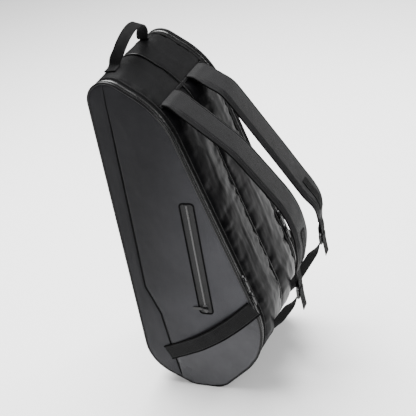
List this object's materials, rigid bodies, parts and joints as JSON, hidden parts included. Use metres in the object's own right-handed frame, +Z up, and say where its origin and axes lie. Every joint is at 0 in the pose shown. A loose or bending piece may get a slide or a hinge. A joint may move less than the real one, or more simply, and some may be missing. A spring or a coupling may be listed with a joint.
{
  "type": "racket tournament bag",
  "caption": "Two-compartment teardrop racket bag standing on its wide end, with zipped side panels, padded shoulder straps, a carry handle and grab bands.",
  "frame": {"origin": "middle of the flat base that the bag stands on", "axes": "+Z up along the bag towards its narrow end, +X towards the shoulder straps, -Y towards the near side panel"},
  "size_m": [0.3851, 0.318, 0.8125],
  "materials": {
    "face_fabric": "coated matte fabric with a soft sheen",
    "gusset_fabric": "plain matte woven fabric",
    "gloss_fabric": "glossy coated tarpaulin, softly wrinkled",
    "lining": "thin padded lining",
    "piping": "smooth black piping",
    "webbing": "ribbed webbing",
    "strap_fabric": "padded strap with mesh edges",
    "zip_tape": "woven zip tape with coil teeth",
    "slider_metal": "black enamelled",
    "puller": "moulded soft puller",
    "buckle_plastic": "moulded acetal"
  },
  "bodies": {
    "root": {"base_gusset": "gusset_fabric", "centre_piping": "piping", "divider": "lining", "shoulder_binding": "gusset_fabric", "handle_tabs": "webbing", "near_front_gusset": "gusset_fabric", "near_narrow_end_gusset": "gusset_fabric", "near_back_gusset": "gloss_fabric", "near_gusset_lining": "lining", "near_gusset_zip_half": "zip_tape", "near_strap_root": "strap_fabric", "near_anchor_tab": "webbing", "far_front_gusset": "gusset_fabric", "far_narrow_end_gusset": "gusset_fabric", "far_back_gusset": "gloss_fabric", "far_gusset_lining": "lining", "far_gusset_zip_half": "zip_tape", "far_strap_root": "strap_fabric", "far_anchor_tab": "webbing"},
    "handle": {"handle_loop": "webbing"},
    "near_panel": {"near_panel_zip_half": "zip_tape", "near_panel_foam": "lining", "near_panel_piping": "piping", "near_grab_band": "webbing", "near_pocket_frame": "piping", "near_pocket_zip": "zip_tape", "near_pocket_pouch": "lining", "near_side_strip": "face_fabric", "near_main_field": "face_fabric", "near_toe_panel": "gloss_fabric"},
    "near_strap": {"near_strap_pad": "strap_fabric", "near_lock_loop": "webbing", "near_ladder_lock": "buckle_plastic", "near_adjuster_webbing": "webbing"},
    "near_upper_slider": {"near_upper_slider": "slider_metal"},
    "near_upper_puller": {"near_upper_puller": "puller"},
    "near_lower_slider": {"near_lower_slider": "slider_metal"},
    "near_lower_puller": {"near_lower_puller": "puller"},
    "near_pocket_slider": {"near_pocket_slider": "slider_metal"},
    "near_pocket_puller": {"near_pocket_puller": "puller"},
    "far_panel": {"far_panel_zip_half": "zip_tape", "far_panel_foam": "lining", "far_panel_piping": "piping", "far_grab_band": "webbing", "far_pocket_frame": "piping", "far_pocket_zip": "zip_tape", "far_pocket_pouch": "lining", "far_side_strip": "face_fabric", "far_main_field": "face_fabric", "far_toe_panel": "gloss_fabric"},
    "far_strap": {"far_strap_pad": "strap_fabric", "far_lock_loop": "webbing", "far_ladder_lock": "buckle_plastic", "far_adjuster_webbing": "webbing"},
    "far_upper_slider": {"far_upper_slider": "slider_metal"},
    "far_upper_puller": {"far_upper_puller": "puller"},
    "far_lower_slider": {"far_lower_slider": "slider_metal"},
    "far_lower_puller": {"far_lower_puller": "puller"},
    "far_pocket_slider": {"far_pocket_slider": "slider_metal"},
    "far_pocket_puller": {"far_pocket_puller": "puller"}
  },
  "joints": [
    {"name": "handle_swing", "type": "hinge", "parent": "root", "child": "handle", "pos_m": [-0.097, 0, 0.757], "axis": [0, 1, 0], "range_deg": [-65, 27]},
    {"name": "near_panel_open", "type": "hinge", "parent": "root", "child": "near_panel", "pos_m": [-0.133, -0.1395, 0.373], "axis": [0, 0, -1], "range_deg": [0, 80]},
    {"name": "near_strap_swing", "type": "hinge", "parent": "root", "child": "near_strap", "pos_m": [0.075, -0.068, 0.62596], "axis": [0.1622, 0, -0.9868], "range_deg": [-10, 25]},
    {"name": "near_upper_slider_travel", "type": "slide", "parent": "root", "child": "near_upper_slider", "axis": [-0.2653, 0, 0.9642], "range_m": [0, 0.325]},
    {"name": "near_upper_puller_flip", "type": "hinge", "parent": "near_upper_slider", "child": "near_upper_puller", "pos_m": [0.12829, -0.1316, 0.297], "axis": [0, -1, 0], "range_deg": [0, 160]},
    {"name": "near_lower_slider_travel", "type": "slide", "parent": "root", "child": "near_lower_slider", "axis": [-0.2653, 0, 0.9642], "range_m": [-0.03, 0]},
    {"name": "near_lower_puller_flip", "type": "hinge", "parent": "near_lower_slider", "child": "near_lower_puller", "pos_m": [0.13847, -0.1316, 0.25999], "axis": [0, -1, 0], "range_deg": [0, 160]},
    {"name": "near_pocket_slider_travel", "type": "slide", "parent": "near_panel", "child": "near_pocket_slider", "axis": [0, 0, 1], "range_m": [0, 0.24]},
    {"name": "near_pocket_puller_flip", "type": "hinge", "parent": "near_pocket_slider", "child": "near_pocket_puller", "pos_m": [0.036, -0.15175, 0.226], "axis": [0, 0, 1], "range_deg": [0, 160]},
    {"name": "far_panel_open", "type": "hinge", "parent": "root", "child": "far_panel", "pos_m": [-0.133, 0.1395, 0.373], "axis": [0, 0, 1], "range_deg": [0, 80]},
    {"name": "far_strap_swing", "type": "hinge", "parent": "root", "child": "far_strap", "pos_m": [0.075, 0.068, 0.64164], "axis": [-0.1535, 0, 0.9882], "range_deg": [-10, 25]},
    {"name": "far_upper_slider_travel", "type": "slide", "parent": "root", "child": "far_upper_slider", "axis": [-0.2653, 0, 0.9642], "range_m": [0, 0.325]},
    {"name": "far_upper_puller_flip", "type": "hinge", "parent": "far_upper_slider", "child": "far_upper_puller", "pos_m": [0.12829, 0.1316, 0.297], "axis": [0, -1, 0], "range_deg": [0, 160]},
    {"name": "far_lower_slider_travel", "type": "slide", "parent": "root", "child": "far_lower_slider", "axis": [-0.2653, 0, 0.9642], "range_m": [-0.03, 0]},
    {"name": "far_lower_puller_flip", "type": "hinge", "parent": "far_lower_slider", "child": "far_lower_puller", "pos_m": [0.13847, 0.1316, 0.25999], "axis": [0, -1, 0], "range_deg": [0, 160]},
    {"name": "far_pocket_slider_travel", "type": "slide", "parent": "far_panel", "child": "far_pocket_slider", "axis": [0, 0, 1], "range_m": [0, 0.24]},
    {"name": "far_pocket_puller_flip", "type": "hinge", "parent": "far_pocket_slider", "child": "far_pocket_puller", "pos_m": [0.036, 0.15175, 0.226], "axis": [0, 0, -1], "range_deg": [0, 160]}
  ]
}
